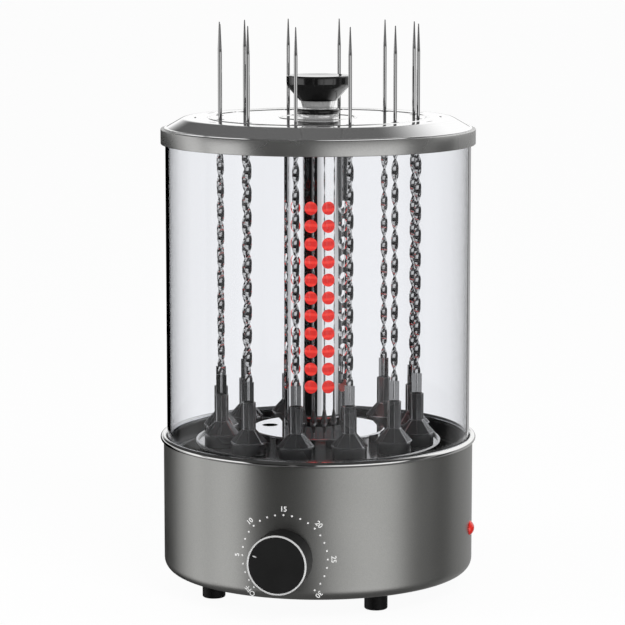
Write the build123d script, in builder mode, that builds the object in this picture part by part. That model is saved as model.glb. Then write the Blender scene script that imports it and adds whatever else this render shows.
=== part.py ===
from build123d import *
import os
from math import acos, asin, cos, pi, radians, sin, tan

# Electric skewer grill. Millimetres, +Z up, front (the timer knob) towards -Y.
# The origin is on the vertical axis, in the plane that the feet stand on.

os.makedirs("parts", exist_ok=True)

# ---------------------------------------------------------------- driving sizes
# Clearances
slip = 0.3             # gap between parts that lift off or stand beside each other
running = 0.08         # radial play of a shaft in its hole
thrust = 0.2           # end play of turning parts
snug = 0.02            # gap of parts that are pressed or glued together

# Housing
foot_height = 15.0     # floor to the underside of the housing
housing_r = 125.0
housing_height = 108.0  # underside to the centre of the rolled rim
housing_wall = 1.2
housing_corner = 10.0  # outside radius of the lower corner
rim_bead_r = 2.5       # the rolled rim is a bead of this radius
flange_width = 9.0     # inward flange that carries the bottom plate

# Rubber feet, each one piece with a neck and a head that snap through the bottom plate
foot_r = 9.2
foot_circle_r = 95.0
foot_count = 4
foot_turn = 41.0       # angle of the first foot from the front
foot_neck_r = 3.6
foot_head_r = 4.8
foot_head_height = 3.0

# Bottom plate
bottom_plate_thickness = 1.5
vent_count = 16
vent_circle_r = 52.0
vent_length = 22.0
vent_width = 4.0

# Inner well, which the glass stands in
well_wall = 1.0
glass_depth = 14.0     # how far the glass stands below the centre of the rim
well_depth = 24.0      # floor of the well below the centre of the rim
well_ledge_width = 6.0
collar_r = 31.0        # outside of the collar that the sun gear turns on
collar_drop = 22.0

# Glass cylinder
glass_wall = 2.5
glass_height = 262.0

# Ring plate round the skewer holders
ring_plate_r = 98.0
ring_plate_drop = 4.0  # its top below the centre of the rim
ring_plate_thickness = 0.8
ring_lip_r = 1.5
ring_skirt_inset = 1.6
ring_plate_bore_r = 50.0

# Centre plate round the heater column
centre_plate_r = 54.0
centre_plate_rise = 10.7
centre_plate_edge = 1.2
sight_hole_r = 6.3
sight_hole_x = -40.0

# Heater column
column_r = 27.2
column_wall = 0.8
column_top_gap = 12.0  # below the inside of the lid
column_ring_r = 44.0
column_ring_height = 3.0
column_corner = 2.0
hole_r = 5.3
hole_rows = 11
hole_pitch = 14.36
hole_columns = 12
first_hole_rise = 48.0  # lowest row above the ring plate

# Heater in the column
quartz_r = 14.0
quartz_wall = 1.6
element_r = 10.0
end_cap_r = 17.0
end_cap_length = 12.0
end_cap_socket = 6.0
end_disc_thickness = 4.0
heater_overhang = 15.0  # quartz tube beyond the first and last hole

# Skewer holders
skewer_count = 12
holder_circle_r = 81.0
holder_flats = 10.4    # across the flats of the octagonal tube
holder_skirt_flats = 27.0
holder_boss_r = 13.6
holder_boss_height = 9.2
holder_skirt_height = 10.8
holder_skirt_lip = 0.8
holder_tube_height = 21.5
holder_turn = 12.0     # how far every holder is turned at rest
socket_length = 21.0
socket_gap = 0.2

# Skewers
blade_width = 8.0      # flat foot of the skewer, which the holder grips
blade_thickness = 1.4
blade_rise = 16.0      # how far it stands above the holder
blade_rib_r = 1.1
skewer_width = 5.4     # the twisted strip
skewer_thickness = 1.6
skewer_rod_r = 1.4
skewer_pitch = 37.0    # one full turn of the twist
skewer_turns = 5
skewer_length = 316.0
skewer_point_length = 22.0
skewer_point_r = 0.45

# Gear train
sun_teeth = 64
pinion_teeth = 17
drive_module = 1.5
drive_teeth = 60
motor_pinion_teeth = 16
pressure_angle = 20.0
addendum = 0.8         # in modules
dedendum = 1.05        # in modules
backlash = 0.25
gear_face = 8.0
gear_drop = 5.0        # top of the teeth below the well floor
sun_web = 2.0
sun_rim = 5.0
sun_hub_wall = 3.0
drive_face = 9.0
drive_rim = 5.0
spindle_r = 4.0
spindle_hub_r = 7.0
spindle_grip = 8.0     # length that the holder grips
deck_thickness = 1.6
deck_r = 118.0
deck_lip_width = 3.0
post_r = 4.0
post_circle_r = 106.0
post_count = 4
post_turn = 45.0

# Motor
motor_r = 25.0
motor_height = 20.0
motor_ear_reach = 30.0
motor_ear_r = 5.0
motor_ear_thickness = 2.0
motor_post_r = 3.5
motor_shaft_r = 3.0
motor_edge = 1.5

# Timer and its knob
timer_z = 49.0
knob_r = 23.4
knob_reach = 24.5      # face of the knob in front of the housing
knob_gap = 1.0
knob_hollow = 3.0      # wall left by the hollow back of the knob
knob_stem_r = 4.0
knob_ring_width = 1.4
knob_ring_height = 1.2
pointer_length = 3.4
pointer_width = 1.0
pointer_inset = 3.4
pointer_rise = 0.3
pointer_angle = 160.0  # seen from the front, anticlockwise from three o'clock
timer_body_width = 44.0
timer_body_height = 42.0
timer_body_depth = 27.0
timer_plate_width = 52.0
timer_plate_top = 77.0
timer_plate_thickness = 1.5
timer_plate_gap = 12.0  # from the housing's front to the plate
timer_plate_foot = 12.0
timer_hub_depth = 8.0

# Indicator lamp on the right-hand side
lamp_z = 52.0
lamp_r = 6.0
lamp_dome = 3.6
lamp_body_r = 4.6
lamp_body_length = 16.0
lamp_nut_r = 8.0
lamp_nut_length = 3.0

# Cord gland at the rear
gland_z = 35.0
gland_r = 9.5
gland_neck_r = 6.6
gland_bore_r = 3.7
gland_flange = 2.6
gland_reach = 7.0

# Lid
lid_wall = 1.2
lid_band_height = 12.0
lid_band_gap = 2.5     # between the band and the glass
lid_step_in = 2.6
lid_step_height = 1.2
lid_ledge_width = 2.2
lid_shoulder_height = 7.5
lid_top_r = 108.0
lid_hole_r = 3.3
lid_ring_r = 87.0
lid_inner_ring_r = 30.0
lid_ring_width = 1.2
lid_ring_height = 0.4
lid_slot_circle_r = 98.0
lid_slot_length = 12.0
lid_slot_width = 1.6
lid_bolt_r = 3.0

# Lid knob
knob_foot_r = 17.0
knob_foot_height = 7.1
knob_neck_r = 12.6
knob_neck_height = 3.6
lid_knob_low_r = 14.3
lid_knob_r = 25.3
lid_knob_taper = 17.6
lid_knob_side = 5.2
lid_knob_shoulder = 4.0
lid_knob_dish = 1.2
lid_knob_edge = 0.8
lid_nut_r = 7.0
lid_nut_height = 3.0

# ---------------------------------------------------------------- worked-out places
housing_bottom = foot_height
rim_z = housing_bottom + housing_height
housing_inner_r = housing_r - housing_wall
glass_r = housing_r - rim_bead_r - slip - 0.1
well_r = glass_r + slip + well_wall
glass_bottom = rim_z - glass_depth
glass_top = glass_bottom + glass_height
well_floor = rim_z - well_depth
ledge_r = glass_r - well_ledge_width
ring_plate_z = rim_z - ring_plate_drop
bottom_plate_z = housing_bottom + housing_wall
bottom_plate_top = bottom_plate_z + bottom_plate_thickness
bottom_plate_r = housing_r - housing_corner - slip
flange_r = housing_r - housing_corner - flange_width

lid_seat = glass_top
lid_band_r = glass_r + lid_band_gap + lid_wall
lid_band_top = lid_seat + lid_wall
lid_band_bottom = lid_band_top - lid_band_height
lid_step_r = lid_band_r - lid_step_in
lid_ledge_r = lid_step_r - lid_ledge_width
lid_top = lid_band_top + lid_step_height + lid_shoulder_height

column_top = lid_top - lid_wall - column_top_gap
first_hole_z = ring_plate_z + first_hole_rise
last_hole_z = first_hole_z + (hole_rows - 1) * hole_pitch
quartz_bottom = first_hole_z - heater_overhang
quartz_top = last_hole_z + heater_overhang

gear_top = well_floor - well_wall - gear_drop
gear_bottom = gear_top - gear_face
deck_z = gear_bottom - thrust - 3.8
spindle_bottom = deck_z - deck_thickness - 2.4
# The pinions' module follows from the circle that they stand on, so sun and pinions always mesh.
pinion_distance = holder_circle_r
sun_module = 2 * pinion_distance / (sun_teeth + pinion_teeth)
motor_distance = drive_module * (drive_teeth + motor_pinion_teeth) / 2
drive_bottom = gear_bottom - drive_face
motor_top = drive_bottom - 4.0

holder_bottom = ring_plate_z + slip
holder_skirt_z = holder_bottom + holder_boss_height
holder_tube_z = holder_skirt_z + holder_skirt_height
holder_top = holder_tube_z + holder_tube_height
socket_bottom = holder_top - socket_length
skewer_bottom = socket_bottom + socket_gap
twist_length = skewer_turns * skewer_pitch
twist_bottom = holder_top + blade_rise
twist_top = twist_bottom + twist_length
skewer_top = skewer_bottom + skewer_length


def involute(angle):
    return tan(angle) - angle


def polar(radius, angle):
    return (radius * cos(angle), radius * sin(angle))


def gear_outline(teeth, module):
    # Closed outline of an external spur gear with one tooth centred on +X.
    pitch_r = module * teeth / 2
    base_r = pitch_r * cos(radians(pressure_angle))
    tip_r = pitch_r + addendum * module
    root_r = pitch_r - dedendum * module
    start_r = max(base_r, root_r)
    mid_r = (start_r + tip_r) / 2
    half_pitch = pi / (2 * teeth) - backlash / (4 * pitch_r)

    def half_angle(radius):
        return half_pitch + involute(radians(pressure_angle)) - involute(acos(base_r / radius))

    for tooth in range(teeth):
        centre = 2 * pi * tooth / teeth
        following = 2 * pi * (tooth + 1) / teeth
        start, mid, tip = (half_angle(r) for r in (start_r, mid_r, tip_r))
        root_right = polar(root_r, centre - start)
        root_left = polar(root_r, centre + start)
        if base_r > root_r:
            Line(root_right, polar(start_r, centre - start))
        ThreePointArc(polar(start_r, centre - start), polar(mid_r, centre - mid),
                      polar(tip_r, centre - tip))
        Line(polar(tip_r, centre - tip), polar(tip_r, centre + tip))
        ThreePointArc(polar(tip_r, centre + tip), polar(mid_r, centre + mid),
                      polar(start_r, centre + start))
        if base_r > root_r:
            Line(polar(start_r, centre + start), root_left)
        Line(root_left, polar(root_r, following - start))


# ---------------------------------------------------------------- base
with BuildPart() as housing_shell:
    with BuildSketch(Plane.XZ):
        with BuildLine():
            corner = (housing_r - housing_corner, housing_bottom + housing_corner)
            Line((flange_r, housing_bottom), (corner[0], housing_bottom))
            CenterArc(corner, housing_corner, -90, 90)
            Polyline((housing_r, corner[1]), (housing_r, rim_z), (housing_inner_r, rim_z),
                     (housing_inner_r, corner[1]))
            CenterArc(corner, housing_corner - housing_wall, 0, -90)
            Polyline((corner[0], bottom_plate_z), (flange_r, bottom_plate_z),
                     (flange_r, housing_bottom))
        make_face()
        with Locations((housing_r, rim_z)):
            Circle(rim_bead_r)
    revolve(axis=Axis.Z)
    with BuildSketch(Plane.XZ.offset(housing_r - housing_corner)):
        with Locations((0, timer_z)):
            Circle(knob_stem_r + slip)
    extrude(amount=2 * housing_corner, mode=Mode.SUBTRACT)
    with BuildSketch(Plane.YZ.offset(housing_r - housing_corner)):
        with Locations((0, lamp_z)):
            Circle(lamp_body_r + snug)
    extrude(amount=2 * housing_corner, mode=Mode.SUBTRACT)
    with BuildSketch(Plane.XZ.offset(-housing_r - housing_corner)):
        with Locations((0, gland_z)):
            Circle(gland_neck_r + snug)
    extrude(amount=2 * housing_corner, mode=Mode.SUBTRACT)
housing_shell.part.label = "housing_shell"
export_step(housing_shell.part, "parts/housing_shell.step")

foot_places = PolarLocations(foot_circle_r, foot_count, start_angle=foot_turn - 90)

with BuildPart() as bottom_plate:
    with BuildSketch(Plane.XY.offset(bottom_plate_z)):
        Circle(bottom_plate_r)
        with foot_places:
            Circle(foot_neck_r + snug, mode=Mode.SUBTRACT)
        with PolarLocations(vent_circle_r, vent_count):
            SlotOverall(vent_length, vent_width, mode=Mode.SUBTRACT)
    extrude(amount=bottom_plate_thickness)
bottom_plate.part.label = "bottom_plate"
export_step(bottom_plate.part, "parts/bottom_plate.step")

with BuildPart() as feet:
    with BuildSketch():
        with foot_places:
            Circle(foot_r)
    extrude(amount=bottom_plate_z)
    with BuildSketch(Plane.XY.offset(bottom_plate_z)):
        with foot_places:
            Circle(foot_neck_r)
    extrude(amount=bottom_plate_thickness)
    with BuildSketch(Plane.XY.offset(bottom_plate_top)):
        with foot_places:
            Circle(foot_head_r)
    extrude(amount=foot_head_height)
    fillet(feet.edges().group_by(Axis.Z)[-1], foot_head_r - foot_neck_r)
feet.part.label = "feet"
export_step(feet.part, "parts/feet.step")

holder_places = PolarLocations(holder_circle_r, skewer_count, start_angle=-90)

with BuildPart() as inner_well:
    with BuildSketch(Plane.XZ):
        with BuildLine():
            Polyline((well_r, rim_z - rim_bead_r), (well_r, glass_bottom - well_wall),
                     (ledge_r, glass_bottom - well_wall), (ledge_r, well_floor - well_wall),
                     (collar_r, well_floor - well_wall),
                     (collar_r, well_floor - collar_drop),
                     (collar_r - well_wall, well_floor - collar_drop),
                     (collar_r - well_wall, well_floor),
                     (ledge_r - well_wall, well_floor), (ledge_r - well_wall, glass_bottom),
                     (well_r - well_wall, glass_bottom),
                     (well_r - well_wall, rim_z - rim_bead_r),
                     (well_r, rim_z - rim_bead_r))
        make_face()
    revolve(axis=Axis.Z)
    with BuildSketch(Plane.XY.offset(well_floor - 2 * well_wall)):
        with holder_places:
            Circle(spindle_r + running)
    extrude(amount=3 * well_wall, mode=Mode.SUBTRACT)
inner_well.part.label = "inner_well"
export_step(inner_well.part, "parts/inner_well.step")

with BuildPart() as ring_plate:
    with BuildSketch(Plane.XZ):
        with BuildLine():
            skirt_r = ring_plate_r - ring_skirt_inset
            under = ring_plate_z - ring_plate_thickness
            Polyline((ring_plate_bore_r, ring_plate_z), (ring_plate_r, ring_plate_z),
                     (ring_plate_r, under), (skirt_r, under), (skirt_r, well_floor),
                     (skirt_r - ring_plate_thickness, well_floor),
                     (skirt_r - ring_plate_thickness, under), (ring_plate_bore_r, under),
                     (ring_plate_bore_r, ring_plate_z))
        make_face()
        with Locations((ring_plate_r, ring_plate_z + ring_lip_r / 2)):
            Circle(ring_lip_r)
    revolve(axis=Axis.Z)
    with BuildSketch(Plane.XY.offset(ring_plate_z)):
        with holder_places:
            Circle(spindle_r + slip)
    extrude(amount=-2 * ring_plate_thickness, mode=Mode.SUBTRACT)
ring_plate.part.label = "ring_plate"
export_step(ring_plate.part, "parts/ring_plate.step")

with BuildPart() as centre_plate:
    with BuildSketch(Plane.XY.offset(ring_plate_z)):
        Circle(centre_plate_r)
    extrude(amount=centre_plate_rise)
    fillet(centre_plate.edges().group_by(Axis.Z)[-1], centre_plate_edge)
    with BuildSketch(Plane.XY.offset(ring_plate_z)):
        Circle(centre_plate_r - ring_plate_thickness)
    extrude(amount=centre_plate_rise - ring_plate_thickness, mode=Mode.SUBTRACT)
    with BuildSketch(Plane.XY.offset(ring_plate_z)):
        Circle(column_r + slip)
        with Locations((sight_hole_x, 0)):
            Circle(sight_hole_r)
    extrude(amount=centre_plate_rise, mode=Mode.SUBTRACT)
centre_plate.part.label = "centre_plate"
export_step(centre_plate.part, "parts/centre_plate.step")

# ---------------------------------------------------------------- heater column
with BuildPart() as heater_guard:
    with BuildSketch(Plane.XY.offset(well_floor)):
        Circle(column_r)
    extrude(amount=column_top - well_floor)
    fillet(heater_guard.edges().group_by(Axis.Z)[-1], column_corner)
    with BuildSketch(Plane.XY.offset(well_floor)):
        Circle(column_r - column_wall)
    extrude(amount=column_top - well_floor - column_wall, mode=Mode.SUBTRACT)
    for row in range(hole_rows):
        hole_z = first_hole_z + row * hole_pitch
        for column in range(hole_columns // 2):
            turn = 360 * column / hole_columns
            with BuildSketch(Plane((0, 0, hole_z), x_dir=(0, 0, 1),
                                   z_dir=(cos(radians(turn)), sin(radians(turn)), 0))):
                Circle(hole_r)
            extrude(amount=column_r, both=True, mode=Mode.SUBTRACT)
    # the ring that the column is pressed into stands on the floor of the well
    with BuildSketch(Plane.XY.offset(well_floor)):
        Circle(column_ring_r)
        Circle(column_r + snug, mode=Mode.SUBTRACT)
    extrude(amount=column_ring_height)
heater_guard.part.label = "heater_guard"
export_step(heater_guard.part, "parts/heater_guard.step")

with BuildPart() as quartz_tube:
    with BuildSketch(Plane.XY.offset(quartz_bottom)):
        Circle(quartz_r)
        Circle(quartz_r - quartz_wall, mode=Mode.SUBTRACT)
    extrude(amount=quartz_top - quartz_bottom)
quartz_tube.part.label = "quartz_tube"
export_step(quartz_tube.part, "parts/quartz_tube.step")

with BuildPart() as heating_element:
    with BuildSketch(Plane.XY.offset(quartz_bottom - end_cap_socket)):
        Circle(element_r)
    extrude(amount=quartz_top - quartz_bottom + 2 * end_cap_socket)
heating_element.part.label = "heating_element"
export_step(heating_element.part, "parts/heating_element.step")

with BuildPart() as heater_end_caps:
    cap_shift = end_cap_length - end_cap_socket
    for socket_z, inward in ((quartz_bottom, 1), (quartz_top, -1)):
        with BuildSketch(Plane.XY.offset(socket_z - inward * cap_shift)):
            Circle(end_cap_r)
        extrude(amount=inward * end_cap_length)
        with BuildSketch(Plane.XY.offset(socket_z - inward * cap_shift)):
            Circle(column_r - column_wall - snug)
        extrude(amount=inward * end_disc_thickness)
        with BuildSketch(Plane.XY.offset(socket_z)):
            Circle(quartz_r + snug)
        extrude(amount=inward * end_cap_length, mode=Mode.SUBTRACT)
        with BuildSketch(Plane.XY.offset(socket_z - inward * cap_shift)):
            Circle(element_r + snug)
        extrude(amount=inward * end_cap_length, mode=Mode.SUBTRACT)
heater_end_caps.part.label = "heater_end_caps"
export_step(heater_end_caps.part, "parts/heater_end_caps.step")

# ---------------------------------------------------------------- glass and lid
with BuildPart() as glass_cylinder:
    with BuildSketch(Plane.XY.offset(glass_bottom)):
        Circle(glass_r)
        Circle(glass_r - glass_wall, mode=Mode.SUBTRACT)
    extrude(amount=glass_height)
    fillet(glass_cylinder.edges().group_by(Axis.Z)[-1], glass_wall / 4)
glass_cylinder.part.label = "glass_cylinder"
export_step(glass_cylinder.part, "parts/glass_cylinder.step")

with BuildPart() as lid:
    with BuildSketch(Plane.XZ):
        with BuildLine():
            shoulder = lid_band_top + lid_step_height
            Polyline((lid_band_r, lid_band_bottom), (lid_band_r, lid_band_top),
                     (lid_step_r, lid_band_top), (lid_step_r, shoulder),
                     (lid_ledge_r, shoulder), (lid_top_r, lid_top), (0, lid_top),
                     (0, lid_top - lid_wall), (lid_top_r - lid_wall / 2, lid_top - lid_wall),
                     (lid_ledge_r - lid_wall, shoulder - lid_wall / 2),
                     (lid_ledge_r - lid_wall, lid_seat),
                     (lid_band_r - lid_wall, lid_seat),
                     (lid_band_r - lid_wall, lid_band_bottom),
                     (lid_band_r, lid_band_bottom))
        make_face()
        for ring_r in (lid_ring_r, lid_inner_ring_r):
            with Locations((ring_r, lid_top + lid_ring_height / 2 - lid_wall / 4)):
                Rectangle(lid_ring_width, lid_ring_height + lid_wall / 2)
    revolve(axis=Axis.Z)
    with BuildSketch(Plane.XY.offset(lid_top + lid_wall)):
        with holder_places:
            Circle(lid_hole_r)
        with PolarLocations(lid_slot_circle_r, skewer_count, start_angle=-90 + 180 / skewer_count):
            SlotOverall(lid_slot_length, lid_slot_width, rotation=90)
        Circle(lid_bolt_r)
    extrude(amount=-3 * lid_wall, mode=Mode.SUBTRACT)
lid.part.label = "lid"
export_step(lid.part, "parts/lid.step")

neck_z = lid_top + knob_foot_height
lid_knob_z = neck_z + knob_neck_height
side_z = lid_knob_z + lid_knob_taper
knob_top = side_z + lid_knob_side
# the top is dished to a true part of a ball
dish_edge = lid_knob_r - 2 * lid_knob_edge
dish_bottom = knob_top - lid_knob_dish
dish_r = (dish_edge ** 2 + lid_knob_dish ** 2) / (2 * lid_knob_dish)
half_dish = asin(dish_edge / dish_r) / 2

with BuildPart() as lid_knob_stem:
    with BuildSketch(Plane.XY.offset(lid_top)):
        Circle(knob_foot_r)
    extrude(amount=knob_foot_height)
    fillet(lid_knob_stem.edges().group_by(Axis.Z)[-1], lid_knob_edge)
    with BuildSketch(Plane.XY.offset(neck_z)):
        Circle(knob_neck_r)
    extrude(amount=knob_neck_height)
    with BuildSketch(Plane.XY.offset(lid_top)):
        Circle(lid_bolt_r - running)
    extrude(amount=-lid_wall - lid_nut_height)
    with BuildSketch(Plane.XY.offset(lid_top - lid_wall)):
        RegularPolygon(lid_nut_r, 6)
    extrude(amount=-lid_nut_height)
lid_knob_stem.part.label = "lid_knob_stem"
export_step(lid_knob_stem.part, "parts/lid_knob_stem.step")

with BuildPart() as lid_knob:
    with BuildSketch(Plane.XZ) as knob_section:
        with BuildLine():
            Polyline((0, lid_knob_z), (lid_knob_low_r, lid_knob_z), (lid_knob_r, side_z),
                     (lid_knob_r, knob_top), (dish_edge, knob_top))
            ThreePointArc((dish_edge, knob_top),
                          (dish_r * sin(half_dish), dish_bottom + dish_r * (1 - cos(half_dish))),
                          (0, dish_bottom))
            Line((0, dish_bottom), (0, lid_knob_z))
        make_face()
        fillet(knob_section.vertices().group_by(Axis.X)[-1].sort_by(Axis.Y)[-1], lid_knob_edge)
        fillet(knob_section.vertices().group_by(Axis.X)[-1].sort_by(Axis.Y)[0], lid_knob_shoulder)
    revolve(axis=Axis.Z)
lid_knob.part.label = "lid_knob"
export_step(lid_knob.part, "parts/lid_knob.step")

# ---------------------------------------------------------------- timer and its knob
knob_face = housing_r + knob_reach
knob_back = housing_r + knob_gap
timer_plate_y = housing_r - timer_plate_gap
timer_body_y = timer_plate_y - timer_plate_thickness
stem_end = timer_body_y - timer_hub_depth + thrust

with BuildPart() as timer_knob:
    with BuildSketch(Plane.XZ.offset(knob_back)):
        with Locations((0, timer_z)):
            Circle(knob_r)
    extrude(amount=knob_face - knob_back)
    with BuildSketch(Plane.XZ.offset(knob_back)):
        with Locations((0, timer_z)):
            Circle(knob_r - knob_hollow)
    extrude(amount=knob_face - knob_back - 2 * knob_hollow, mode=Mode.SUBTRACT)
    with BuildSketch(Plane.XZ.offset(knob_face - knob_ring_height)):
        with Locations((0, timer_z)):
            Circle(knob_r)
            Circle(knob_r - knob_ring_width, mode=Mode.SUBTRACT)
    extrude(amount=knob_ring_height, mode=Mode.SUBTRACT)
    with BuildSketch(Plane.XZ.offset(knob_face)):
        with Locations(Location((0, timer_z), pointer_angle)):
            with Locations((knob_r - pointer_inset - pointer_length / 2, 0)):
                SlotOverall(pointer_length, pointer_width)
    extrude(amount=pointer_rise)
    with BuildSketch(Plane.XZ.offset(stem_end)):
        with Locations((0, timer_z)):
            Circle(knob_stem_r)
    extrude(amount=knob_face - 2 * knob_hollow - stem_end)
timer_knob.part.label = "timer_knob"
export_step(timer_knob.part, "parts/timer_knob.step")

with BuildPart() as knob_ring:
    with BuildSketch(Plane.XZ.offset(knob_face - knob_ring_height)):
        with Locations((0, timer_z)):
            Circle(knob_r)
            Circle(knob_r - knob_ring_width, mode=Mode.SUBTRACT)
    extrude(amount=knob_ring_height)
    fillet(knob_ring.edges().group_by(Axis.Y)[0].sort_by(SortBy.LENGTH)[-1], knob_ring_height / 3)
knob_ring.part.label = "knob_ring"
export_step(knob_ring.part, "parts/knob_ring.step")

with BuildPart() as timer:
    with BuildSketch(Plane.XZ.offset(timer_body_y)):
        with Locations((0, (bottom_plate_top + timer_plate_top) / 2)):
            Rectangle(timer_plate_width, timer_plate_top - bottom_plate_top)
    extrude(amount=timer_plate_thickness)
    with BuildSketch(Plane.XY.offset(bottom_plate_top)):
        with Locations((0, timer_plate_foot / 2 - timer_body_y)):
            Rectangle(timer_plate_width, timer_plate_foot)
    extrude(amount=timer_plate_thickness)
    with BuildSketch(Plane.XZ.offset(timer_body_y)):
        with Locations((0, timer_z)):
            RectangleRounded(timer_body_width, timer_body_height, knob_stem_r)
    extrude(amount=-timer_body_depth)
    with BuildSketch(Plane.XZ.offset(timer_body_y + timer_plate_thickness)):
        with Locations((0, timer_z)):
            Circle(knob_stem_r + running)
    extrude(amount=-timer_plate_thickness - timer_hub_depth, mode=Mode.SUBTRACT)
timer.part.label = "timer"
export_step(timer.part, "parts/timer.step")

# ---------------------------------------------------------------- lamp and cord gland
dome_r = (lamp_r ** 2 + lamp_dome ** 2) / (2 * lamp_dome)
half_dome = asin(lamp_r / dome_r) / 2
lamp_tip = housing_r + snug + lamp_dome

with BuildPart() as indicator_lamp:
    with BuildSketch(Plane.XZ):
        with BuildLine():
            Polyline((housing_r - lamp_body_length, lamp_z),
                     (housing_r - lamp_body_length, lamp_z + lamp_body_r),
                     (housing_r + snug, lamp_z + lamp_body_r),
                     (housing_r + snug, lamp_z + lamp_r))
            ThreePointArc((housing_r + snug, lamp_z + lamp_r),
                          (lamp_tip - dome_r * (1 - cos(half_dome)), lamp_z + dome_r * sin(half_dome)),
                          (lamp_tip, lamp_z))
            Line((lamp_tip, lamp_z), (housing_r - lamp_body_length, lamp_z))
        make_face()
    revolve(axis=Axis((0, 0, lamp_z), (1, 0, 0)))
    with BuildSketch(Plane.YZ.offset(housing_inner_r - lamp_nut_length - slip)):
        with Locations((0, lamp_z)):
            RegularPolygon(lamp_nut_r, 6)
    extrude(amount=lamp_nut_length)
indicator_lamp.part.label = "indicator_lamp"
export_step(indicator_lamp.part, "parts/indicator_lamp.step")

with BuildPart() as cord_gland:
    with BuildSketch(Plane.XZ.offset(-housing_r - gland_reach)):
        with Locations((0, gland_z)):
            Circle(gland_neck_r)
    extrude(amount=2 * gland_reach + housing_wall)
    with BuildSketch(Plane.XZ.offset(-housing_r - gland_flange - slip / 2)):
        with Locations((0, gland_z)):
            Circle(gland_r)
    extrude(amount=gland_flange)
    with BuildSketch(Plane.XZ.offset(-housing_r + housing_wall + slip * 2)):
        with Locations((0, gland_z)):
            Circle(gland_neck_r + housing_wall)
    extrude(amount=gland_flange)
    with BuildSketch(Plane.XZ.offset(-housing_r - gland_reach)):
        with Locations((0, gland_z)):
            Circle(gland_bore_r)
    extrude(amount=3 * gland_reach, mode=Mode.SUBTRACT)
cord_gland.part.label = "cord_gland"
export_step(cord_gland.part, "parts/cord_gland.step")

# ---------------------------------------------------------------- gear train
drive_pitch_r = drive_module * drive_teeth / 2
drive_tip_r = drive_pitch_r + addendum * drive_module
sun_root_r = sun_module * sun_teeth / 2 - dedendum * sun_module
deck_bore_r = drive_tip_r + 2.5
motor_hole_r = drive_module * (motor_pinion_teeth / 2 + 1) + 1.0
post_places = PolarLocations(post_circle_r, post_count, start_angle=post_turn)

with BuildPart() as gear_deck:
    with BuildSketch(Plane.XY.offset(deck_z)):
        Circle(deck_r)
        Circle(deck_bore_r, mode=Mode.SUBTRACT)
        with Locations((0, motor_distance)):
            Circle(motor_hole_r, mode=Mode.SUBTRACT)
        with holder_places:
            Circle(spindle_r + running, mode=Mode.SUBTRACT)
    extrude(amount=-deck_thickness)
    with BuildSketch(Plane.XY.offset(deck_z)):
        Circle(deck_bore_r + deck_lip_width)
        Circle(deck_bore_r, mode=Mode.SUBTRACT)
        with Locations((0, motor_distance)):
            Circle(motor_hole_r, mode=Mode.SUBTRACT)
    extrude(amount=gear_bottom - thrust - deck_z)
    with BuildSketch(Plane.XY.offset(bottom_plate_top)):
        with post_places:
            Circle(post_r)
    extrude(amount=well_floor - well_wall - bottom_plate_top)
gear_deck.part.label = "gear_deck"
export_step(gear_deck.part, "parts/gear_deck.step")

with BuildPart() as sun_gear:
    with BuildSketch(Plane.XY.offset(gear_bottom)):
        with BuildLine():
            gear_outline(sun_teeth, sun_module)
        make_face()
        Circle(sun_root_r - sun_rim, mode=Mode.SUBTRACT)
    extrude(amount=gear_face)
    with BuildSketch(Plane.XY.offset(gear_bottom)):
        Circle(sun_root_r)
        Circle(collar_r + running, mode=Mode.SUBTRACT)
    extrude(amount=sun_web)
    with BuildSketch(Plane.XY.offset(drive_bottom)):
        with BuildLine():
            gear_outline(drive_teeth, drive_module)
        make_face()
        Circle(drive_pitch_r - dedendum * drive_module - drive_rim, mode=Mode.SUBTRACT)
    extrude(amount=drive_face)
    with BuildSketch(Plane.XY.offset(drive_bottom)):
        Circle(collar_r + running + sun_hub_wall)
        Circle(collar_r + running, mode=Mode.SUBTRACT)
    extrude(amount=drive_face + gear_face)
sun_gear.part.label = "sun_gear"
export_step(sun_gear.part, "parts/sun_gear.step")

with BuildPart() as motor_pinion:
    # The wheel has a tooth towards the motor, so the pinion is turned to show it a gap.
    with BuildSketch(Plane((0, motor_distance, drive_bottom),
                           x_dir=polar(1, radians(-90 + 180 / motor_pinion_teeth)) + (0,),
                           z_dir=(0, 0, 1))):
        with BuildLine():
            gear_outline(motor_pinion_teeth, drive_module)
        make_face()
    extrude(amount=drive_face - thrust)
    with BuildSketch(Plane.XY.offset(motor_top - motor_height / 2)):
        with Locations((0, motor_distance)):
            Circle(motor_shaft_r)
    extrude(amount=drive_bottom - motor_top + motor_height / 2)
motor_pinion.part.label = "motor_pinion"
export_step(motor_pinion.part, "parts/motor_pinion.step")

with BuildPart() as gear_motor:
    with BuildSketch(Plane.XY.offset(motor_top - motor_height)):
        with Locations((0, motor_distance)):
            Circle(motor_r)
    extrude(amount=motor_height)
    fillet(gear_motor.edges().group_by(Axis.Z)[0], motor_edge)
    with BuildSketch(Plane.XY.offset(motor_top)):
        with Locations((0, motor_distance)):
            SlotCenterToCenter(2 * motor_ear_reach, 2 * motor_ear_r)
    extrude(amount=-motor_ear_thickness)
    with BuildSketch(Plane.XY.offset(motor_top)):
        with Locations((-motor_ear_reach, motor_distance), (motor_ear_reach, motor_distance)):
            Circle(motor_post_r)
    extrude(amount=deck_z - deck_thickness - motor_top)
    with BuildSketch(Plane.XY.offset(motor_top)):
        with Locations((0, motor_distance)):
            Circle(motor_shaft_r + running)
    extrude(amount=-motor_height / 2 - thrust, mode=Mode.SUBTRACT)
gear_motor.part.label = "gear_motor"
export_step(gear_motor.part, "parts/gear_motor.step")

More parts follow.
